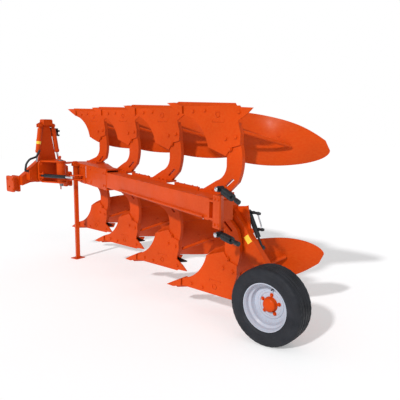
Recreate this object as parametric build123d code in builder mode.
"""A reversible moldboard plough with four pairs of bodies, parked on its stand and depth wheel.

The machine frame has X forward (the way it is pulled), Y to the left (the land side) and Z up, with
its origin on the turnover axis, level with the first share's tip. Lower bodies turn the soil to the
right, and the upper ones are their mirror image. The finished machine is set down nose up, on its
stand and its wheel, by the angle that their lengths give.
"""
from build123d import *
from math import asin, atan2, cos, degrees, hypot, pi, radians, sin
import os

os.makedirs("parts", exist_ok=True)

# Driving dimensions, in millimetres and degrees
BODY_PAIRS = 4
BODY_PITCH = 960.0  # from one body to the next, along the beam
BEAM_ANGLE = 17.0  # between the beam and the way the plough is pulled
TIP_TO_TIP = 1700.0  # from a lower share's tip to the upper one above it
HEAD_OFFSET = 340.0  # from the first body's land side to the turnover axis
SEAT_GAP = 0.3  # between faces that rest on each other but may move apart
RUNNING_GAP = 0.05  # radial, at pins, rods and shafts
SIDE_GAP = 6.0  # between parts that move past each other

HALF_TIPS = TIP_TO_TIP / 2
COS_B = cos(radians(BEAM_ANGLE))
SIN_B = sin(radians(BEAM_ANGLE))

# Beam, in its own frame: x back along the beam from the first tip, y to the right
BEAM_CENTRE_Y = 40.0
BEAM_WIDTH = 170.0
BEAM_HEIGHT = 176.0
BEAM_WALL = 10.0
BEAM_FRONT = 1.5 * BODY_PITCH + 40
BEAM_REAR = (BODY_PAIRS - 1) * BODY_PITCH + 740
BEAM_TOP = BEAM_HEIGHT / 2
BEAM_NEAR = BEAM_CENTRE_Y - BEAM_WIDTH / 2
BEAM_FAR = BEAM_CENTRE_Y + BEAM_WIDTH / 2

# Share, frog plate and leg, in the land side plane: u back from the tip, v towards the beam
PLATE_THICK = 12.0
LEG_THICK = 40.0
LEG_REACH = HALF_TIPS - BEAM_TOP  # from the tip's level to the beam's face
FOOT_THICK = 18.0
SHARE_THICK = 11.0
POINT_WIDTH = 58.0
POINT_OUT = 14.0  # the point bar stands this far out of the land side
LEAF_THICK = 6.5
STAY_RADIUS = 16.0

# Front console between the yoke pin and the beam
CONSOLE_PLATE = 16.0
CONSOLE_HALF = 125.0  # outer faces above and below the turnover axis
PIVOT_X = -280.0
PIVOT_Y = 0.0
PIVOT_PIN_RADIUS = 25.0
PIVOT_BOSS_RADIUS = 58.0

# Turning head, along the turnover axis
SHAFT_RADIUS = 50.0
HEAD_PLATE = 30.0
HEAD_FRONT = -20.0
HEAD_HALF_WIDTH = 190.0
YOKE_PLATE = 18.0

# Headstock: a case for the chain wheel, a mast box on it and a ram at each side of the mast
CASE_DEPTH = 85.0
CASE_WALL = 12.0
CASE_TOP = 150.0
MAST_REAR = 32.0
MAST_FRONT = 112.0
MAST_FOOT_HALF = 130.0
MAST_HEAD_HALF = 46.0
MAST_TOP = 615.0
CHAIN_RADIUS = 70.0
RAM_PLANE = 32.0
RAM_TOP_Y = 94.5
RAM_LEAN = 8.6  # degrees, outwards on the way down
RAM_RADIUS = 31.0
RAM_ROD_RADIUS = 14.0
RAM_PIN_RADIUS = 12.0
RAM_EYE_RADIUS = 27.0
RAM_EYE_THICK = 32.0
RAM_BARREL_END = 360.0
RAM_BORE_START = 56.0
RAM_ROD_START = 62.0
RAM_ROD_CLOSED = 500.0  # from the ram's pin to the rod's end
RAM_STROKE = CHAIN_RADIUS * pi

# Category II linkage
LINK_BORE = 14.2
LINK_SPREAD = 825.0
LINK_PIN_X = 250.0
LINK_PIN_Z = -205.0
LINK_GAP = 54.0
LINK_PLATE = 22.0
LINK_PLATE_FRONT = 330.0
LINK_PLATE_REAR = 140.0
LINK_PLATE_TOP = -60.0
LINK_PLATE_LOW = -275.0
TOP_PIN_BORE = 12.85
MAST_HEIGHT = 610.0
TOP_LINK_GAP = 56.0

# Parking stand, by the front console's near side
STAND_X = 374.0
STAND_Y = -50.0
STAND_SIDE = 50.0
STAND_DROP = HALF_TIPS + 377.0
STAND_FOOT = 140.0
STAND_FOOT_THICK = 10.0
STAND_TOP_Z = 140.0

# Depth wheel, in the last body's land side plane: u back, w right, v up from the tip's level
WHEEL_U = 1193.0
WHEEL_W = -100.0
WHEEL_V = 145.0
TYRE_RADIUS = 310.0
TYRE_WIDTH = 212.0
RIM_RADIUS = 192.0
DISH_FACE = -8.0  # outer face of the disc, left of the wheel's middle
ARM_W = 92.0
ARM_WIDTH = 60.0
ARM_PIVOT_U = 660.0
ARM_PIVOT_RADIUS = 38.0
PIVOT_TUBE_RADIUS = 58.0  # outside
PIVOT_TUBE_LEFT = 168.0  # where the tube ends, left of the land side
AXLE_RADIUS = 25.0


def beam_point(x, y, z):
    """A machine point from the beam's own frame: x back along it, y to its right."""
    return Vector(-x * COS_B - y * SIN_B, -HEAD_OFFSET + x * SIN_B - y * COS_B, z)


def body_point(index, u, w, v):
    """A machine point on a lower body: u back from its tip, w to the right, v up."""
    return Vector(
        -index * BODY_PITCH * COS_B - u,
        -HEAD_OFFSET + index * BODY_PITCH * SIN_B - w,
        -HALF_TIPS + v,
    )


LAST = BODY_PAIRS - 1
WHEEL_CENTRE = body_point(LAST, WHEEL_U, WHEEL_W, WHEEL_V)
ARM_PIVOT = body_point(LAST, ARM_PIVOT_U, ARM_W, HALF_TIPS)
STAND_TOP = beam_point(STAND_X, STAND_Y, 0)

# Nose-up angle at which the stand's foot and the tyre both touch the floor
_contact_x = STAND_TOP.X - WHEEL_CENTRE.X
_contact_z = -STAND_DROP - WHEEL_CENTRE.Z
PARK_ANGLE = -degrees(
    asin(TYRE_RADIUS / hypot(_contact_x, _contact_z)) + atan2(_contact_z, _contact_x)
)
_park_sin = sin(radians(PARK_ANGLE))
_park_cos = cos(radians(PARK_ANGLE))
AXIS_HEIGHT = TYRE_RADIUS - (WHEEL_CENTRE.X * _park_sin + WHEEL_CENTRE.Z * _park_cos)

MACHINE_TO_MIRROR = Plane.XY


PIECES = []


def park(piece, label):
    """Name a finished piece and keep it until the whole machine is set down."""
    PIECES.append((label, piece.part))


def land_side(offset=0.0, index=0):
    """The land side plane of a lower body, moved to its right by an offset."""
    return Plane(origin=body_point(index, 0, offset, 0), x_dir=(-1, 0, 0), z_dir=(0, 1, 0))


def across(x):
    """An upright plane across the machine, seen from behind: x to the left, y up."""
    return Plane(origin=(x, 0, 0), x_dir=(0, 1, 0), z_dir=(1, 0, 0))


def beam_level(z):
    """A level plane in the beam's own frame: x back along it, y to its right."""
    return Plane(origin=beam_point(0, 0, z), x_dir=(-COS_B, SIN_B, 0), z_dir=(0, 0, 1))


def beam_side(y):
    """An upright plane along the beam: x back along it, y up, facing left."""
    return Plane(origin=beam_point(0, y, 0), x_dir=(-COS_B, SIN_B, 0), z_dir=(SIN_B, COS_B, 0))


def at_station(pattern, index, row):
    """The first lower body's piece, at another station of the lower or upper row."""
    step = Vector(-index * BODY_PITCH * COS_B, index * BODY_PITCH * SIN_B, 0)
    piece = pattern.part.moved(Location(step))
    if row == "upper":
        piece = mirror(piece, about=MACHINE_TO_MIRROR)
    return piece


# Frog plate with its landside: outline of the flat plate on the land side
with BuildPart() as frog_pattern:
    with BuildSketch(land_side(PLATE_THICK)):
        with BuildLine():
            Polyline((190, 104), (186, 34), (782, 36), (794, 48), (911, 54), (856, 104))
            Polyline((856, 104), (775, 153), (781, 190), (801, 257), (798, 348))
            Polyline((798, 348), (712, 372), (657, 443), (470, 378))
            ThreePointArc((470, 378), (382, 212), (190, 104))
        make_face()
    extrude(amount=PLATE_THICK)

# Legs: a thick curved plate behind the frog, with a foot plate against the console or a header
FOOT_FRONT = 405.0
FOOT_BACK = 700.0
FOOT_SIDE = 56.0  # outer edge of the foot plate, right of the land side
FACES = [CONSOLE_HALF] + [BEAM_TOP] * (BODY_PAIRS - 1)


def far_face(u):
    """The place right of a body's land side where the beam's far face runs, at u."""
    return (BEAM_FAR - u * SIN_B) / COS_B


def level(index, z):
    """A level plane over a lower body's tip: x back from it, y to its left."""
    origin = body_point(index, 0, 0, 0)
    return Plane(origin=(origin.X, origin.Y, z), x_dir=(-1, 0, 0), z_dir=(0, 0, -1))


for index, face in enumerate(FACES):
    foot_v = HALF_TIPS - face - FOOT_THICK
    with BuildPart() as leg:
        with BuildSketch(land_side(PLATE_THICK + LEG_THICK, index)):
            with BuildLine():
                Polyline((610, 170), (640, 400), (662, 447), (661, 500))
                ThreePointArc((661, 500), (646, 583), (560, 655))
                Polyline((560, 655), (FOOT_FRONT, foot_v), (FOOT_BACK - 12, foot_v), (780, 655))
                ThreePointArc((780, 655), (818, 500), (798, 348))
                Polyline((798, 348), (798, 257), (770, 170), (610, 170))
            make_face()
        extrude(amount=LEG_THICK)
        with BuildSketch(land_side(PLATE_THICK + LEG_THICK, index)):
            with BuildLine():
                Polyline((742, 636), (722, 626), (640, 700), (658, 708), (742, 636))
            make_face()
        extrude(amount=LEG_THICK, mode=Mode.SUBTRACT)
        with BuildSketch(level(index, -face - FOOT_THICK)):
            with BuildLine():
                Polyline(
                    (360, -FOOT_SIDE),
                    (360, -far_face(360)),
                    (715, -far_face(715)),
                    (715, -FOOT_SIDE),
                    (360, -FOOT_SIDE),
                )
            make_face()
        extrude(amount=-FOOT_THICK)
    park(leg, f"leg_lower_{index + 1}")
    with BuildPart() as upper_leg:
        add(mirror(leg.part, about=Plane.XY))
    park(upper_leg, f"leg_upper_{index + 1}")

# Headers: a side plate and webs on the beam's far side, between a station's two feet
with BuildPart() as headers:
    for index in range(1, BODY_PAIRS):
        with BuildSketch(level(index, -BEAM_TOP)):
            with BuildLine():
                Polyline(
                    (372, -FOOT_SIDE),
                    (372, -far_face(372)),
                    (580, -far_face(580)),
                    (580, -FOOT_SIDE),
                    (372, -FOOT_SIDE),
                )
            make_face()
            with BuildLine():
                Polyline(
                    (388, -FOOT_SIDE + 16),
                    (388, -far_face(388) - 17),
                    (564, -far_face(564) - 17),
                    (564, -FOOT_SIDE + 16),
                    (388, -FOOT_SIDE + 16),
                )
            make_face(mode=Mode.SUBTRACT)
        extrude(amount=-2 * BEAM_TOP)
    for index in range(2, BODY_PAIRS):
        with BuildSketch(beam_level(-BEAM_TOP - 27)):
            with Locations((index * BODY_PITCH + 113, BEAM_FAR + 10)):
                Rectangle(418, 20)
        extrude(amount=2 * BEAM_TOP + 54)
park(headers, "headers")

# Share and its point: a bevelled blade under the moldboard and a bar along the land side
with BuildPart() as share_pattern:
    with BuildSketch(land_side(PLATE_THICK + SEAT_GAP)):
        with BuildLine():
            Polyline((96, 4), (205, 98), (214, 88), (118, -6), (96, 4))
        make_face()
    with BuildSketch(land_side(392)):
        with BuildLine():
            Polyline((452, 0), (500, 64), (508, 56), (466, -6), (452, 0))
        make_face()
    loft(ruled=True)
    with BuildSketch(land_side(PLATE_THICK + POINT_WIDTH)):
        with BuildLine():
            Polyline((0, 4), (86, 2), (150, 20), (206, 92), (186, 104), (86, 52), (0, 4))
        make_face()
    extrude(amount=POINT_WIDTH - SEAT_GAP)
    with BuildSketch(land_side(PLATE_THICK)):
        with BuildLine():
            Polyline((0, 4), (86, 2), (150, 20), (180, 32), (184, 100), (86, 52), (0, 4))
        make_face()
    extrude(amount=PLATE_THICK + POINT_OUT)

# Moldboard leaf, as sections from the shin back to the tail: bottom point, top point, depth of
# the hollow and the level direction in which it is pushed back, each point as (u, w, v)
LEAF_SECTIONS = [
    # bottom, top, hollow, push
    ((208, 13, 104), (474, 13, 384), 50, (1.0, 0.0)),
    ((355, 195, 88), (655, 165, 492), 62, (0.7, -0.7)),
    ((504, 380, 76), (850, 355, 530), 58, (0.7, -0.7)),
    ((760, 452, 108), (1000, 530, 524), 42, (0.5, -0.87)),
    ((1020, 525, 178), (1170, 640, 478), 18, (0.45, -0.9)),
    ((1225, 650, 310), (1254, 684, 392), 3, (0.45, -0.9)),
]


def leaf_section(bottom, top, hollow, push):
    """The corner and middle points of one section, front face then back face."""
    low = body_point(0, *bottom)
    high = body_point(0, *top)
    along = (high - low).normalized()
    back = Vector(-push[0], -push[1], 0)
    back = (back - along * back.dot(along)).normalized()
    middle = (low + high) * 0.5 + back * hollow
    return low, middle, high, back


with BuildPart() as leaf_pattern:
    for bottom, top, hollow, push in LEAF_SECTIONS:
        low, middle, high, back = leaf_section(bottom, top, hollow, push)
        along = (high - low).normalized()
        flat = Plane(origin=low, x_dir=along, z_dir=along.cross(back))
        height = (high - low).length
        with BuildSketch(flat):
            with BuildLine():
                ThreePointArc((0, 0), (height / 2, hollow), (height, 0))
                Line((height, 0), (height, LEAF_THICK))
                ThreePointArc((height, LEAF_THICK), (height / 2, hollow + LEAF_THICK), (0, LEAF_THICK))
                Line((0, LEAF_THICK), (0, 0))
            make_face()
    loft()

# Stay: a round bar from the leg to the back of the leaf, with a flat foot at each end
STAY_START = body_point(0, 770, PLATE_THICK + LEG_THICK, 240)
STAY_END = body_point(0, 985, 470, 360)
with BuildPart() as stay_pattern:
    stay_way = STAY_END - STAY_START
    with BuildSketch(Plane(origin=STAY_START, x_dir=(-1, 0, 0), z_dir=(0, -1, 0))):
        Circle(STAY_RADIUS)
    extrude(amount=stay_way.length, dir=stay_way.normalized())

for row in ("lower", "upper"):
    for index in range(BODY_PAIRS):
        with BuildPart() as leaf:
            add(at_station(leaf_pattern, index, row))
        park(leaf, f"moldboard_{row}_{index + 1}")
    with BuildPart() as frogs:
        for index in range(BODY_PAIRS):
            add(at_station(frog_pattern, index, row))
    park(frogs, f"frogs_{row}")
    with BuildPart() as shares:
        for index in range(BODY_PAIRS):
            add(at_station(share_pattern, index, row))
    park(shares, f"shares_{row}")
    with BuildPart() as stays:
        for index in range(BODY_PAIRS):
            add(at_station(stay_pattern, index, row))
    park(stays, f"stays_{row}")

# Main beam: a square tube closed by the console and the end plate
with BuildPart() as beam:
    with BuildSketch(beam_side(BEAM_NEAR)):
        with Locations(((BEAM_FRONT + BEAM_REAR) / 2, 0)):
            Rectangle(BEAM_REAR - BEAM_FRONT, BEAM_HEIGHT)
    extrude(amount=-BEAM_WIDTH)
    with BuildSketch(beam_side(BEAM_NEAR + BEAM_WALL)):
        with Locations(((BEAM_FRONT + BEAM_REAR) / 2, 0)):
            Rectangle(BEAM_REAR - BEAM_FRONT, BEAM_HEIGHT - 2 * BEAM_WALL)
    extrude(amount=-(BEAM_WIDTH - 2 * BEAM_WALL), mode=Mode.SUBTRACT)
    with BuildSketch(land_side(ARM_W, LAST)):
        with Locations((ARM_PIVOT_U, HALF_TIPS)):
            Circle(PIVOT_TUBE_RADIUS + SEAT_GAP)
    extrude(amount=ARM_W + PIVOT_TUBE_LEFT, mode=Mode.SUBTRACT)
park(beam, "main_beam")

# Front console: two level plates with upright webs, from the yoke pin back to the beam
PIVOT_BEAM_X = -(PIVOT_X * COS_B - (PIVOT_Y + HEAD_OFFSET) * SIN_B)
PIVOT_BEAM_Y = -(PIVOT_X * SIN_B + (PIVOT_Y + HEAD_OFFSET) * COS_B)
CONSOLE_NEAR = BEAM_NEAR
CONSOLE_REAR = BEAM_FRONT
WEB_FRONT = 786.0
with BuildPart() as console:
    for level in (CONSOLE_HALF, -CONSOLE_HALF + CONSOLE_PLATE):
        with BuildSketch(beam_level(level)):
            with BuildLine():
                Polyline(
                    (PIVOT_BEAM_X + PIVOT_BOSS_RADIUS, PIVOT_BEAM_Y),
                    (STAND_X + 30, STAND_Y - 80),
                    (STAND_X - 41, STAND_Y - 48),
                    (STAND_X - 41, STAND_Y + 41),
                    (STAND_X + 54, STAND_Y + 41),
                    (STAND_X + 70, CONSOLE_NEAR),
                    (CONSOLE_REAR, CONSOLE_NEAR),
                    (CONSOLE_REAR, BEAM_FAR),
                    (1290, BEAM_FAR),
                    (760, 268),
                    (400, 268),
                    (300, 200),
                    (235, 60),
                    (235, -120),
                    (PIVOT_BEAM_X - PIVOT_BOSS_RADIUS, PIVOT_BEAM_Y),
                    (PIVOT_BEAM_X + PIVOT_BOSS_RADIUS, PIVOT_BEAM_Y),
                )
            make_face()
            with Locations((PIVOT_BEAM_X, PIVOT_BEAM_Y)):
                Circle(PIVOT_BOSS_RADIUS)
        extrude(amount=-CONSOLE_PLATE)
    with BuildSketch(beam_level(-CONSOLE_HALF + CONSOLE_PLATE)):
        with Locations((PIVOT_BEAM_X, PIVOT_BEAM_Y)):
            Circle(PIVOT_BOSS_RADIUS)
    extrude(amount=2 * (CONSOLE_HALF - CONSOLE_PLATE))
    with Locations(Plane(beam_level(-CONSOLE_HALF).from_local_coords((PIVOT_BEAM_X, PIVOT_BEAM_Y, 0)))):
        Cylinder(
            PIVOT_PIN_RADIUS + RUNNING_GAP,
            2 * CONSOLE_HALF,
            align=(Align.CENTER, Align.CENTER, Align.MIN),
            mode=Mode.SUBTRACT,
        )
    for web_y in (CONSOLE_NEAR, BEAM_FAR - CONSOLE_PLATE):
        with BuildSketch(beam_side(web_y)):
            with Locations(((WEB_FRONT + CONSOLE_REAR) / 2, 0)):
                Rectangle(CONSOLE_REAR - WEB_FRONT, 2 * (CONSOLE_HALF - CONSOLE_PLATE))
        extrude(amount=-CONSOLE_PLATE)
park(console, "console")


def upright_pin(label, x, y, z_low, z_high, radius):
    """A plain upright pin in the machine frame."""
    with BuildPart() as pin:
        with Locations(Location((x, y, z_low))):
            Cylinder(radius, z_high - z_low, align=(Align.CENTER, Align.CENTER, Align.MIN))
        with Locations(Location((x, y, z_high))):
            Cylinder(radius + 10, 12, align=(Align.CENTER, Align.CENTER, Align.MIN))
    park(pin, label)


YOKE_INNER = CONSOLE_HALF + SIDE_GAP
YOKE_OUTER = YOKE_INNER + YOKE_PLATE
upright_pin("yoke_pin", PIVOT_X, PIVOT_Y, -YOKE_OUTER - 40, YOKE_OUTER, PIVOT_PIN_RADIUS)

# Turning head: head plate, yoke plates, shaft and chain wheel
with BuildPart() as turning_head:
    with BuildSketch(across(HEAD_FRONT - HEAD_PLATE)):
        RectangleRounded(2 * HEAD_HALF_WIDTH, 2 * YOKE_OUTER, 60)
    extrude(amount=HEAD_PLATE)
    for face_z in (YOKE_OUTER, -YOKE_INNER):
        with BuildSketch(Plane.XY.offset(face_z)):
            with BuildLine():
                Polyline(
                    (HEAD_FRONT - HEAD_PLATE, 150),
                    (PIVOT_X, PIVOT_Y + 66),
                    (PIVOT_X, PIVOT_Y - 66),
                    (HEAD_FRONT - HEAD_PLATE, -160),
                    (HEAD_FRONT - HEAD_PLATE, 150),
                )
            make_face()
            with Locations((PIVOT_X, PIVOT_Y)):
                Circle(66)
            with Locations((PIVOT_X, PIVOT_Y)):
                Circle(PIVOT_PIN_RADIUS, mode=Mode.SUBTRACT)
        extrude(amount=-YOKE_PLATE)
park(turning_head, "turning_head")
WHEEL_REAR = CASE_WALL + 12.0
WHEEL_THICK = 24.0
with BuildPart() as turnover_shaft:
    with BuildSketch(across(HEAD_FRONT)):
        Circle(SHAFT_RADIUS)
    extrude(amount=CASE_DEPTH - 1 - HEAD_FRONT)
park(turnover_shaft, "turnover_shaft")
with BuildPart() as chain_wheel:
    with BuildSketch(across(WHEEL_REAR)):
        Circle(CHAIN_RADIUS)
        with PolarLocations(CHAIN_RADIUS, 18):
            Circle(7)
        Circle(SHAFT_RADIUS, mode=Mode.SUBTRACT)
    extrude(amount=WHEEL_THICK)
park(chain_wheel, "chain_wheel")


def ram_frame(side):
    """The pin of a turnover ram and the unit way down along its rod."""
    lean = radians(RAM_LEAN)
    return Vector(RAM_PLANE, side * RAM_TOP_Y, MAST_TOP), Vector(0, side * sin(lean), -cos(lean))


# Chain case: a hollow box whose top the rams' rods enter, with the shaft's two bearings
CASE_OUTLINE = [
    # across, up
    (300, 40),
    (150, CASE_TOP),
    (-150, CASE_TOP),
    (-300, 40),
    (-300, -112),
    (-200, -145),
    (200, -145),
    (300, -112),
]
with BuildPart() as chain_case:
    with BuildSketch(across(0)):
        with BuildLine():
            Polyline(*CASE_OUTLINE, close=True)
        make_face()
    extrude(amount=CASE_DEPTH)
    with BuildSketch(across(CASE_WALL)):
        with BuildLine():
            Polyline(*CASE_OUTLINE, close=True)
        make_face()
        offset(amount=-CASE_WALL, mode=Mode.REPLACE)
    extrude(amount=CASE_DEPTH - 2 * CASE_WALL, mode=Mode.SUBTRACT)
    with BuildSketch(across(-10)):
        Circle(SHAFT_RADIUS + RUNNING_GAP)
    extrude(amount=CASE_DEPTH + 20, mode=Mode.SUBTRACT)
    for side in (1, -1):
        pin_place, way = ram_frame(side)
        with BuildSketch(Plane(origin=pin_place + way * (RAM_ROD_CLOSED - 70), z_dir=way)):
            Circle(RAM_ROD_RADIUS + 1)
        extrude(amount=200, mode=Mode.SUBTRACT)
park(chain_case, "chain_case")

# Mast: front and rear plates with closed sides, standing on the case
with BuildPart() as mast:
    with BuildSketch(across(MAST_REAR)):
        with BuildLine():
            Polyline(
                (MAST_FOOT_HALF, CASE_TOP),
                (MAST_HEAD_HALF, MAST_TOP),
                (-MAST_HEAD_HALF, MAST_TOP),
                (-MAST_FOOT_HALF, CASE_TOP),
                close=True,
            )
        make_face()
    extrude(amount=MAST_FRONT - MAST_REAR)
    with BuildSketch(across(MAST_REAR + CASE_WALL)):
        with BuildLine():
            Polyline(
                (MAST_FOOT_HALF - CASE_WALL, CASE_TOP),
                (MAST_HEAD_HALF - CASE_WALL, MAST_TOP - CASE_WALL),
                (-MAST_HEAD_HALF + CASE_WALL, MAST_TOP - CASE_WALL),
                (-MAST_FOOT_HALF + CASE_WALL, CASE_TOP),
                close=True,
            )
        make_face()
    extrude(amount=MAST_FRONT - MAST_REAR - 2 * CASE_WALL, mode=Mode.SUBTRACT)
park(mast, "mast")

# Mast cap: the cross plate and the pins that the two rams hang on, with a rounded cover
CAP_PLATE = 16.0
CAP_HEIGHT = 84.0
with BuildPart() as mast_cap:
    with BuildSketch(across(MAST_REAR - 46)):
        with Locations((0, MAST_TOP + CAP_HEIGHT / 2)):
            RectangleRounded(134, CAP_HEIGHT, 22)
    extrude(amount=MAST_FRONT - MAST_REAR + 20)
    with BuildSketch(across(RAM_PLANE + RAM_EYE_THICK / 2 + SEAT_GAP)):
        with BuildLine():
            Polyline((-134, 590), (-134, 634), (-60, 670), (60, 670), (134, 634), (134, 590), (54, 590), (48, MAST_TOP))
            Polyline((48, MAST_TOP), (-48, MAST_TOP), (-54, 590), (-134, 590))
        make_face()
    extrude(amount=CAP_PLATE)
    for side in (1, -1):
        with BuildSketch(across(RAM_PLANE - RAM_EYE_THICK / 2 - 10)):
            with Locations((side * RAM_TOP_Y, MAST_TOP)):
                Circle(RAM_PIN_RADIUS)
        extrude(amount=RAM_EYE_THICK + 20)
park(mast_cap, "mast_cap")

TOP_LINK_Z = LINK_PIN_Z + MAST_HEIGHT
TOP_LINK_REACH = 80.0
with BuildPart() as top_link_ears:
    for side in (-1, 1):
        ear_y = side * (TOP_LINK_GAP / 2 + LINK_PLATE / 2) + LINK_PLATE / 2
        with BuildSketch(Plane(origin=(MAST_FRONT, ear_y, TOP_LINK_Z), x_dir=(1, 0, 0), z_dir=(0, -1, 0))):
            with BuildLine():
                Polyline((0, -70), (0, 70), (TOP_LINK_REACH, 34), (TOP_LINK_REACH, -34), (0, -70))
            make_face()
            with Locations((TOP_LINK_REACH, 0)):
                Circle(34)
            with Locations((TOP_LINK_REACH, 0)):
                Circle(TOP_PIN_BORE, mode=Mode.SUBTRACT)
        extrude(amount=LINK_PLATE)
park(top_link_ears, "top_link_ears")

# Cross beam on the case's front, and a clevis of two plates at each end
LINK_INNER = LINK_SPREAD / 2 - LINK_GAP / 2 - LINK_PLATE
with BuildPart() as cross_beam:
    with BuildSketch(across(CASE_DEPTH)):
        with BuildLine():
            Polyline((-LINK_INNER, -185), (-LINK_INNER, -64), (-260, 8), (260, 8), (LINK_INNER, -64), (LINK_INNER, -185))
            Polyline((LINK_INNER, -185), (250, -152), (-250, -152), (-LINK_INNER, -185))
        make_face()
    extrude(amount=90)
park(cross_beam, "cross_beam")
LINK_MIDDLE = ((LINK_PLATE_FRONT + LINK_PLATE_REAR) / 2, (LINK_PLATE_TOP + LINK_PLATE_LOW) / 2)
for side, label in ((1, "left"), (-1, "right")):
    with BuildPart() as bracket:
        for inner in (LINK_INNER, LINK_SPREAD / 2 + LINK_GAP / 2):
            start = inner if side > 0 else -inner - LINK_PLATE
            with BuildSketch(Plane(origin=(0, start, 0), x_dir=(-1, 0, 0), z_dir=(0, 1, 0))):
                with Locations((-LINK_MIDDLE[0], LINK_MIDDLE[1])):
                    RectangleRounded(LINK_PLATE_FRONT - LINK_PLATE_REAR, LINK_PLATE_TOP - LINK_PLATE_LOW, 24)
                with Locations((-LINK_PIN_X, LINK_PIN_Z)):
                    Circle(LINK_BORE, mode=Mode.SUBTRACT)
            extrude(amount=LINK_PLATE)
        with Locations(Location((LINK_PLATE_REAR + 34, side * LINK_SPREAD / 2, LINK_MIDDLE[1]))):
            Box(24, LINK_GAP, LINK_PLATE_TOP - LINK_PLATE_LOW - 50)
    park(bracket, f"link_bracket_{label}")

for side, label in ((1, "left"), (-1, "right")):
    pin_place, way = ram_frame(side)
    rod_end = RAM_ROD_CLOSED + (RAM_STROKE if side > 0 else 0)
    rod_start = RAM_ROD_START + (RAM_STROKE if side > 0 else 0)
    flat = Plane(origin=pin_place, x_dir=way, z_dir=(1, 0, 0))
    with BuildPart() as barrel:
        with BuildSketch(flat):
            Circle(RAM_EYE_RADIUS)
            with Locations((RAM_EYE_RADIUS, 0)):
                Rectangle(2 * RAM_EYE_RADIUS, 1.2 * RAM_EYE_RADIUS)
        extrude(amount=RAM_EYE_THICK / 2, both=True)
        with BuildSketch(Plane(origin=pin_place + way * 40, z_dir=way)):
            Circle(RAM_RADIUS)
        extrude(amount=RAM_BARREL_END - 40)
        with BuildSketch(flat):
            Circle(RAM_PIN_RADIUS + RUNNING_GAP)
        extrude(amount=RAM_EYE_THICK, both=True, mode=Mode.SUBTRACT)
        with BuildSketch(Plane(origin=pin_place + way * RAM_BORE_START, z_dir=way)):
            Circle(RAM_ROD_RADIUS + RUNNING_GAP)
        extrude(amount=RAM_BARREL_END, mode=Mode.SUBTRACT)
    park(barrel, f"turnover_ram_{label}")
    with BuildPart() as rod:
        with BuildSketch(Plane(origin=pin_place + way * rod_start, z_dir=way)):
            Circle(RAM_ROD_RADIUS)
        extrude(amount=rod_end - rod_start)
    park(rod, f"turnover_rod_{label}")

# Hose from the left ram's foot round to the chain case, and the couplings parked on the mast
HOSE_RADIUS = 9.0
HOSE_ROUTE = [
    (-8.1, 144.8, 284),
    (-16, 205, 196),
    (-16, 292, 178),
    (-6, 345, 110),
    (30, 345, 12),
    (30, 300.3, 12),
]
with BuildPart() as ram_hose:
    with BuildLine() as hose_line:
        FilletPolyline(*HOSE_ROUTE, radius=26)
    with BuildSketch(Plane(origin=hose_line.line @ 0, z_dir=hose_line.line % 0)):
        Circle(HOSE_RADIUS)
    sweep()
park(ram_hose, "ram_hose")
COUPLING_RADIUS = 13.0
COUPLINGS = [
    # across, up, length of the coupling
    (-178, 560, 96),
    (-206, 540, 96),
    (-178, 500, 80),
    (-206, 480, 80),
]
with BuildPart() as coupling_rack:
    with BuildSketch(across(MAST_FRONT - 14)):
        with BuildLine():
            Polyline((-50.8, 590), (-222, 575), (-222, 470), (-74.3, 460), (-50.8, 590))
        make_face()
    extrude(amount=14)
    for across_y, up, length in COUPLINGS:
        with BuildSketch(across(MAST_FRONT)):
            with Locations((across_y, up)):
                Circle(COUPLING_RADIUS)
        extrude(amount=length / 2)
        with BuildSketch(across(MAST_FRONT - 14)):
            with Locations((across_y, up)):
                Circle(COUPLING_RADIUS)
        extrude(amount=-length / 2)
park(coupling_rack, "coupling_rack")

# Swing ram between the head plate and the console
SWING_Z = -50.0
SWING_FRONT = Vector(HEAD_FRONT - HEAD_PLATE - 40, 160, SWING_Z)
SWING_REAR = beam_point(640, -185, SWING_Z)
SWING_RADIUS = 25.0
SWING_ROD_RADIUS = 14.0
SWING_PIN_RADIUS = 12.0
SWING_EYE_RADIUS = 24.0
SWING_EYE_THICK = 30.0
swing_way = (SWING_REAR - SWING_FRONT).normalized()
swing_reach = (SWING_REAR - SWING_FRONT).length
SWING_BARREL_END = swing_reach - 110
with BuildPart() as swing_lug:
    for level in (SWING_Z + SWING_EYE_THICK / 2 + SEAT_GAP, SWING_Z - SWING_EYE_THICK / 2 - SEAT_GAP - 14):
        with BuildSketch(Plane.XY.offset(level)):
            with Locations((SWING_FRONT.X + 15, SWING_FRONT.Y)):
                Rectangle(50, 56)
            with Locations((SWING_FRONT.X, SWING_FRONT.Y)):
                Circle(28)
        extrude(amount=14)
    with Locations(Location((SWING_FRONT.X, SWING_FRONT.Y, SWING_Z))):
        Cylinder(SWING_PIN_RADIUS, SWING_EYE_THICK + 60)
park(swing_lug, "swing_lug")
with BuildPart() as swing_seat:
    for level_z in (SWING_Z + SWING_EYE_THICK / 2 + SIDE_GAP, SWING_Z - SWING_EYE_THICK / 2 - SIDE_GAP - 12):
        with BuildSketch(beam_level(level_z)):
            with BuildLine():
                Polyline((614, CONSOLE_NEAR - 12), (614, -185), (666, -185), (720, CONSOLE_NEAR - 12), (614, CONSOLE_NEAR - 12))
            make_face()
            with Locations((640, -185)):
                Circle(26)
        extrude(amount=12)
    with BuildSketch(beam_side(CONSOLE_NEAR - 12)):
        with Locations((690, 0)):
            Rectangle(180, 2 * CONSOLE_HALF)
    extrude(amount=-12)
park(swing_seat, "swing_seat")
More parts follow.
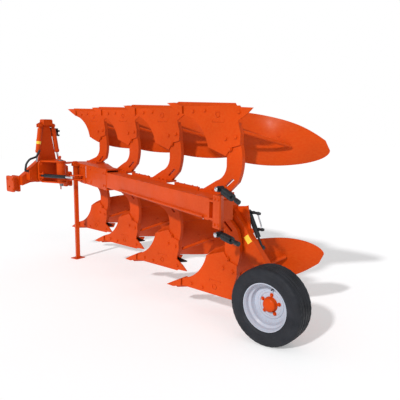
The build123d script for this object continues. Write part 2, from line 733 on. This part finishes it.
with BuildPart() as swing_barrel:
    with Locations(Location(tuple(SWING_FRONT))):
        Cylinder(SWING_EYE_RADIUS, SWING_EYE_THICK)
    with BuildSketch(Plane(origin=SWING_FRONT + swing_way * 36, z_dir=swing_way)):
        Circle(SWING_RADIUS)
    extrude(amount=SWING_BARREL_END - 36)
    with BuildSketch(Plane(origin=SWING_FRONT + swing_way * 18, z_dir=swing_way)):
        Circle(SWING_ROD_RADIUS)
    extrude(amount=30)
    with Locations(Location(tuple(SWING_FRONT))):
        Cylinder(SWING_PIN_RADIUS + RUNNING_GAP, 2 * SWING_EYE_THICK, mode=Mode.SUBTRACT)
    with BuildSketch(Plane(origin=SWING_FRONT + swing_way * 45, z_dir=swing_way)):
        Circle(SWING_ROD_RADIUS + RUNNING_GAP)
    extrude(amount=SWING_BARREL_END, mode=Mode.SUBTRACT)
park(swing_barrel, "swing_ram")
with BuildPart() as swing_rod:
    with BuildSketch(Plane(origin=SWING_FRONT + swing_way * 130, z_dir=swing_way)):
        Circle(SWING_ROD_RADIUS)
    extrude(amount=swing_reach - 130 - 8)
    with Locations(Location(tuple(SWING_REAR))):
        Cylinder(SWING_EYE_RADIUS, SWING_EYE_THICK)
park(swing_rod, "swing_rod")

# Stand: a square post that slides up through two guides on the console
along_beam = Vector(-COS_B, SIN_B, 0)
out_left = Vector(SIN_B, COS_B, 0)
GUIDE_SIDE = 80.0
GUIDE_HEIGHT = 34.0
GUIDE_TOP = CONSOLE_HALF - CONSOLE_PLATE
with BuildPart() as stand_guides:
    for level_z in (GUIDE_TOP - GUIDE_HEIGHT, -GUIDE_TOP):
        with BuildSketch(beam_level(level_z)):
            with Locations((STAND_X, STAND_Y)):
                Rectangle(GUIDE_SIDE, GUIDE_SIDE)
                Rectangle(STAND_SIDE + 2 * SEAT_GAP, STAND_SIDE + 2 * SEAT_GAP, mode=Mode.SUBTRACT)
        extrude(amount=GUIDE_HEIGHT)
    with BuildSketch(beam_level(-GUIDE_TOP)):
        with Locations((STAND_X, STAND_Y + GUIDE_SIDE / 2 + 15)):
            Rectangle(GUIDE_SIDE, 30)
    extrude(amount=2 * GUIDE_TOP)
park(stand_guides, "stand_guides")
foot_plane = Plane(
    origin=(STAND_TOP.X, STAND_TOP.Y, -STAND_DROP),
    x_dir=(_park_cos, 0, -_park_sin),
    z_dir=(_park_sin, 0, _park_cos),
)
with BuildPart() as stand:
    with BuildSketch(beam_level(STAND_TOP_Z)):
        with Locations((STAND_X, STAND_Y)):
            Rectangle(STAND_SIDE, STAND_SIDE)
    extrude(amount=-(STAND_TOP_Z + STAND_DROP - STAND_FOOT_THICK / 2))
    with BuildSketch(foot_plane):
        Rectangle(STAND_FOOT, STAND_FOOT)
    extrude(amount=STAND_FOOT_THICK)
park(stand, "stand")

# Adjusting bar: a round bar on three seats along the beam's near face, low down
BAR_RADIUS = 9.0
BAR_OUT = 16.0  # from the beam's near face to the bar's middle
BAR_Z = -66.0
BAR_FRONT = BEAM_FRONT + 420.0
BAR_REAR = BEAM_REAR - 60.0
with BuildPart() as adjusting_bar:
    with BuildSketch(Plane(origin=beam_point(BAR_FRONT, BEAM_NEAR - BAR_OUT, BAR_Z), z_dir=(-COS_B, SIN_B, 0))):
        Circle(BAR_RADIUS)
    extrude(amount=BAR_REAR - BAR_FRONT)
    with BuildSketch(beam_side(BEAM_NEAR)):
        for seat_x in (BAR_FRONT + 40, (BAR_FRONT + BAR_REAR) / 2, BAR_REAR - 40):
            with Locations((seat_x, BAR_Z)):
                Rectangle(40, 16)
    extrude(amount=BAR_OUT)
park(adjusting_bar, "adjusting_bar")

# Rear of the beam: a recessed end piece and an upright end post
POST_FRONT = BEAM_REAR + 83.0
POST_REAR = POST_FRONT + 88.0
POST_NEAR = -61.0
POST_HALF = 130.0
END_TOP = BEAM_TOP - 8.0
SPINDLE_X = POST_FRONT + 46.0
SPINDLE_Y = POST_NEAR + 34.0
SPINDLE_Z = POST_HALF + 48.0
with BuildPart() as rear_frame:
    for plate_z in (-END_TOP, END_TOP - CONSOLE_PLATE):
        with BuildSketch(beam_level(plate_z)):
            with Locations(((BEAM_REAR + POST_FRONT) / 2, BEAM_CENTRE_Y)):
                Rectangle(POST_FRONT - BEAM_REAR, BEAM_WIDTH)
        extrude(amount=CONSOLE_PLATE)
    for web_y in (BEAM_NEAR + 45, BEAM_FAR - CONSOLE_PLATE):
        with BuildSketch(beam_side(web_y)):
            with Locations(((BEAM_REAR + POST_FRONT) / 2, 0)):
                Rectangle(POST_FRONT - BEAM_REAR, 2 * END_TOP)
        extrude(amount=-CONSOLE_PLATE)
    with BuildSketch(beam_level(-POST_HALF)):
        with BuildLine():
            Polyline(
                (POST_FRONT, POST_NEAR), (POST_REAR, POST_NEAR), (POST_REAR, POST_NEAR + 16),
                (POST_FRONT + 42, POST_NEAR + 74), (POST_FRONT, POST_NEAR + 74), (POST_FRONT, POST_NEAR),
            )
        make_face()
    extrude(amount=2 * POST_HALF)
    with BuildSketch(beam_level(-END_TOP)):
        with BuildLine():
            Polyline(
                (POST_FRONT, POST_NEAR + 60), (POST_FRONT + 40, POST_NEAR + 60), (POST_FRONT + 12, BEAM_FAR),
                (POST_FRONT, BEAM_FAR), (POST_FRONT, POST_NEAR + 60),
            )
        make_face()
        with Locations((BEAM_REAR + 5, (BEAM_NEAR + 45) / 2 + BEAM_NEAR / 2)):
            Rectangle(10, 45)
    extrude(amount=2 * END_TOP)
    for side in (1, -1):
        with BuildSketch(beam_side(SPINDLE_Y + 24)):
            with Locations((SPINDLE_X, side * (POST_HALF + 35))):
                RectangleRounded(64, 74, 14)
        extrude(amount=-16)
park(rear_frame, "rear_frame")

# Stop spindles of the wheel arm: an eye on a pin, a threaded body, a rod and a round end
SPINDLE_RADIUS = 28.0
SPINDLES = [
    # side, fall of the far end
    (1, 72),
    (-1, 22),
]
with BuildPart() as stop_spindles:
    for side, fall in SPINDLES:
        start = beam_point(SPINDLE_X, SPINDLE_Y, side * SPINDLE_Z)
        way = (beam_point(SPINDLE_X + 236, SPINDLE_Y, side * SPINDLE_Z - fall) - start).normalized()
        with BuildSketch(beam_side(POST_NEAR - 6)):
            with Locations((SPINDLE_X, side * SPINDLE_Z)):
                Circle(12)
        extrude(amount=-(SPINDLE_Y + 24 - POST_NEAR + 6) + SEAT_GAP)
        with BuildSketch(beam_side(SPINDLE_Y - 22)):
            with Locations((SPINDLE_X, side * SPINDLE_Z)):
                Circle(24)
        extrude(amount=-44)
        for first, last, radius in ((14, 50, 18), (46, 164, SPINDLE_RADIUS), (150, 236, 10), (206, 244, 19)):
            with BuildSketch(Plane(origin=start + way * first, z_dir=way)):
                Circle(radius)
            extrude(amount=last - first)
park(stop_spindles, "stop_spindles")

# Pivot of the wheel arm: a tube through the beam's far wall, welded to a flange on it
ARM_NEAR = ARM_W - ARM_WIDTH / 2
with BuildPart() as arm_pivot_tube:
    with BuildSketch(beam_side(BEAM_FAR)):
        with Locations((BEAM_REAR - 87, 0)):
            Rectangle(158, BEAM_HEIGHT)
    extrude(amount=-14)
    with BuildSketch(land_side(ARM_NEAR - SEAT_GAP, LAST)):
        with Locations((ARM_PIVOT_U, HALF_TIPS)):
            Circle(PIVOT_TUBE_RADIUS)
    extrude(amount=PIVOT_TUBE_LEFT + ARM_NEAR)
    with BuildSketch(land_side(ARM_NEAR + 10, LAST)):
        with Locations((ARM_PIVOT_U, HALF_TIPS)):
            Circle(ARM_PIVOT_RADIUS + RUNNING_GAP)
    extrude(amount=PIVOT_TUBE_LEFT + ARM_NEAR + 40, mode=Mode.SUBTRACT)
park(arm_pivot_tube, "arm_pivot_tube")

# Wheel arm: a hollow plate box with a heel above its pivot and a fin on its far side
ARM_OUTLINE = [
    # u, v from the last lower tip
    (560, 895),
    (697, 829),
    (1038, 420),
    (1240, 178),
    (1240, 110),
    (1160, 92),
    (924, 367),
    (763, 515),
    (577, 655),
    (540, 700),
    (520, 850),
]
FIN_OUTLINE = [(697, 829), (793, 841), (819, 850), (853, 657), (853, 630), (690, 800)]
ARM_HOLLOW = [(700, 760), (985, 418), (1160, 205), (1120, 190), (935, 402), (780, 548), (640, 652), (640, 730)]
with BuildPart() as wheel_arm:
    with BuildSketch(land_side(ARM_W + ARM_WIDTH / 2, LAST)):
        with BuildLine():
            Polyline(*ARM_OUTLINE, close=True)
        make_face()
        with Locations((ARM_PIVOT_U, HALF_TIPS)):
            Circle(PIVOT_TUBE_RADIUS)
        with Locations((WHEEL_U, WHEEL_V)):
            Circle(56)
    extrude(amount=ARM_WIDTH)
    with BuildSketch(land_side(ARM_W + ARM_WIDTH / 2, LAST)):
        with BuildLine():
            Polyline(*FIN_OUTLINE, close=True)
        make_face()
    extrude(amount=14)
    with BuildSketch(land_side(ARM_W + ARM_WIDTH / 2 - 9, LAST)):
        with BuildLine():
            Polyline(*ARM_HOLLOW, close=True)
        make_face()
    extrude(amount=ARM_WIDTH - 18, mode=Mode.SUBTRACT)
park(wheel_arm, "wheel_arm")
ARM_FAR = ARM_W + ARM_WIDTH / 2
DAMPER_TOP = (809.0, 789.0)
DAMPER_LOW = (953.0, 502.0)
damper_start = body_point(LAST, DAMPER_TOP[0], ARM_FAR + 24, DAMPER_TOP[1])
damper_way = body_point(LAST, DAMPER_LOW[0], ARM_FAR + 24, DAMPER_LOW[1]) - damper_start
damper_reach = damper_way.length
damper_way = damper_way.normalized()
with BuildPart() as arm_cylinder:
    for place in (DAMPER_TOP, DAMPER_LOW):
        with BuildSketch(land_side(ARM_FAR + 36, LAST)):
            with Locations(place):
                Circle(20)
        extrude(amount=36)
    with BuildSketch(Plane(origin=damper_start + damper_way * 16, z_dir=damper_way)):
        Circle(21)
    extrude(amount=0.66 * damper_reach)
    with BuildSketch(Plane(origin=damper_start + damper_way * 16, z_dir=damper_way)):
        Circle(9)
    extrude(amount=damper_reach - 26)
park(arm_cylinder, "arm_cylinder")
ARM_SHAFT_LEFT = PIVOT_TUBE_LEFT + 5.0
with BuildPart() as arm_shaft:
    with BuildSketch(land_side(ARM_NEAR, LAST)):
        with Locations((ARM_PIVOT_U, HALF_TIPS)):
            Circle(ARM_PIVOT_RADIUS)
    extrude(amount=ARM_NEAR + ARM_SHAFT_LEFT)
park(arm_shaft, "arm_shaft")
with BuildPart() as axle:
    with BuildSketch(land_side(ARM_NEAR, LAST)):
        with Locations((WHEEL_U, WHEEL_V)):
            Circle(AXLE_RADIUS)
    extrude(amount=ARM_NEAR - WHEEL_W + DISH_FACE + 14)
park(axle, "axle")

# Hub, rim and tyre, turned about the axle
WHEEL_PLANE = Plane(origin=WHEEL_CENTRE, x_dir=(1, 0, 0), z_dir=(0, -1, 0))
HUB_RADIUS = 62.0
CAP_RADIUS = 54.0


def wheel_level(left):
    """A sketch plane square to the axle, so far left of the wheel's middle; extrudes go left."""
    return Plane(origin=WHEEL_CENTRE + Vector(0, left, 0), x_dir=(1, 0, 0), z_dir=(0, 1, 0))


with BuildPart() as hub:
    with BuildSketch(wheel_level(DISH_FACE - 110)):
        Circle(HUB_RADIUS)
    extrude(amount=90)
    with BuildSketch(wheel_level(DISH_FACE - 22)):
        Circle(96)
    extrude(amount=12)
    with BuildSketch(wheel_level(DISH_FACE - 12)):
        Circle(CAP_RADIUS)
    extrude(amount=40)
    with BuildSketch(wheel_level(DISH_FACE + 28)):
        Circle(CAP_RADIUS - 14)
    extrude(amount=8)
    with BuildSketch(wheel_level(DISH_FACE - 110)):
        Circle(AXLE_RADIUS + RUNNING_GAP)
    extrude(amount=126, mode=Mode.SUBTRACT)
park(hub, "wheel_hub")

wheel_axis = Axis(origin=WHEEL_CENTRE, direction=(0, 1, 0))
ROUND_PLANE = Plane(origin=WHEEL_CENTRE, x_dir=(1, 0, 0), z_dir=(0, 0, -1))
RIM_HALF = 0.4 * TYRE_WIDTH
with BuildPart() as rim:
    with BuildSketch(ROUND_PLANE):
        with BuildLine():
            Polyline(
                (RIM_RADIUS, -RIM_HALF),
                (RIM_RADIUS - 9, -RIM_HALF),
                (RIM_RADIUS - 16, 16 - RIM_HALF),
                (RIM_RADIUS - 19, 42 - RIM_HALF),
                (RIM_RADIUS - 36, 54 - RIM_HALF),
                (RIM_RADIUS - 40, 76 - RIM_HALF),
                (RIM_RADIUS - 46, -DISH_FACE),
                (RIM_RADIUS - 46, 14 - DISH_FACE),
                (RIM_RADIUS - 22, RIM_HALF - 20),
                (RIM_RADIUS - 9, RIM_HALF),
                (RIM_RADIUS, RIM_HALF),
                close=True,
            )
        make_face()
    revolve(axis=wheel_axis)
    with BuildSketch(wheel_level(DISH_FACE - 10)):
        Circle(RIM_RADIUS - 45)
        Circle(CAP_RADIUS + 0.5, mode=Mode.SUBTRACT)
    extrude(amount=10)
park(rim, "rim")

SHOULDER = 0.2 * (TYRE_RADIUS - RIM_RADIUS)
TREAD_HALF = 0.375 * TYRE_WIDTH
with BuildPart() as tyre:
    with BuildSketch(ROUND_PLANE):
        with BuildLine():
            Line((RIM_RADIUS, RIM_HALF - 1), (RIM_RADIUS, 1 - RIM_HALF))
            ThreePointArc(
                (RIM_RADIUS, 1 - RIM_HALF),
                ((RIM_RADIUS + TYRE_RADIUS) / 2 - 4, -TYRE_WIDTH / 2),
                (TYRE_RADIUS - SHOULDER / 2, -TREAD_HALF - 12),
            )
            Line((TYRE_RADIUS - SHOULDER / 2, -TREAD_HALF - 12), (TYRE_RADIUS, -TREAD_HALF))
            Line((TYRE_RADIUS, -TREAD_HALF), (TYRE_RADIUS, TREAD_HALF))
            Line((TYRE_RADIUS, TREAD_HALF), (TYRE_RADIUS - SHOULDER / 2, TREAD_HALF + 12))
            ThreePointArc(
                (TYRE_RADIUS - SHOULDER / 2, TREAD_HALF + 12),
                ((RIM_RADIUS + TYRE_RADIUS) / 2 - 4, TYRE_WIDTH / 2),
                (RIM_RADIUS, RIM_HALF - 1),
            )
        make_face()
    revolve(axis=wheel_axis)
park(tyre, "tyre")

# Set the machine down: nose up, with the origin on the floor below the middle of it all
TURNED = Location((0, 0, AXIS_HEIGHT)) * Location((0, 0, 0), (0, -PARK_ANGLE, 0))
boxes = [piece.moved(TURNED).bounding_box() for label, piece in PIECES]
SHIFT_X = -(min(box.min.X for box in boxes) + max(box.max.X for box in boxes)) / 2
SHIFT_Y = -(min(box.min.Y for box in boxes) + max(box.max.Y for box in boxes)) / 2
PARKED = Location((SHIFT_X, SHIFT_Y, 0)) * TURNED
for label, piece in PIECES:
    solid = piece.moved(PARKED)
    solid.label = label
    export_step(solid, f"parts/{label}.step")

# Places of the joints and mounts, as the record states them
PLACES = [
    # name, place, direction
    ("turnover", Vector(0, 0, 0), Vector(1, 0, 0)),
    ("swing", Vector(PIVOT_X, PIVOT_Y, 0), Vector(0, 0, 1)),
    ("turnover rod left", ram_frame(1)[0], ram_frame(1)[1]),
    ("turnover rod right", ram_frame(-1)[0], ram_frame(-1)[1]),
    ("swing ram", SWING_FRONT, Vector(0, 0, 1)),
    ("swing rod", SWING_REAR, swing_way),
    ("stand", STAND_TOP, Vector(0, 0, 1)),
    ("wheel arm", ARM_PIVOT, Vector(0, 1, 0)),
    ("wheel", WHEEL_CENTRE, Vector(0, 1, 0)),
    ("top link", Vector(MAST_FRONT + TOP_LINK_REACH, 0, TOP_LINK_Z), Vector(0, 1, 0)),
    ("lower link left", Vector(LINK_PIN_X, LINK_SPREAD / 2, LINK_PIN_Z), Vector(0, 1, 0)),
    ("lower link right", Vector(LINK_PIN_X, -LINK_SPREAD / 2, LINK_PIN_Z), Vector(0, 1, 0)),
]
for name, place, way in PLACES:
    spot = (PARKED * Location(tuple(place))).position
    turned = Vector(tuple(way)).normalized().rotate(Axis.Y, -PARK_ANGLE)
    print(name, [round(value / 1000, 6) for value in spot], [round(value, 6) for value in turned])
print("park angle", round(PARK_ANGLE, 3), "axis height", round(AXIS_HEIGHT, 1))
print("shift", round(SHIFT_X, 1), round(SHIFT_Y, 1))
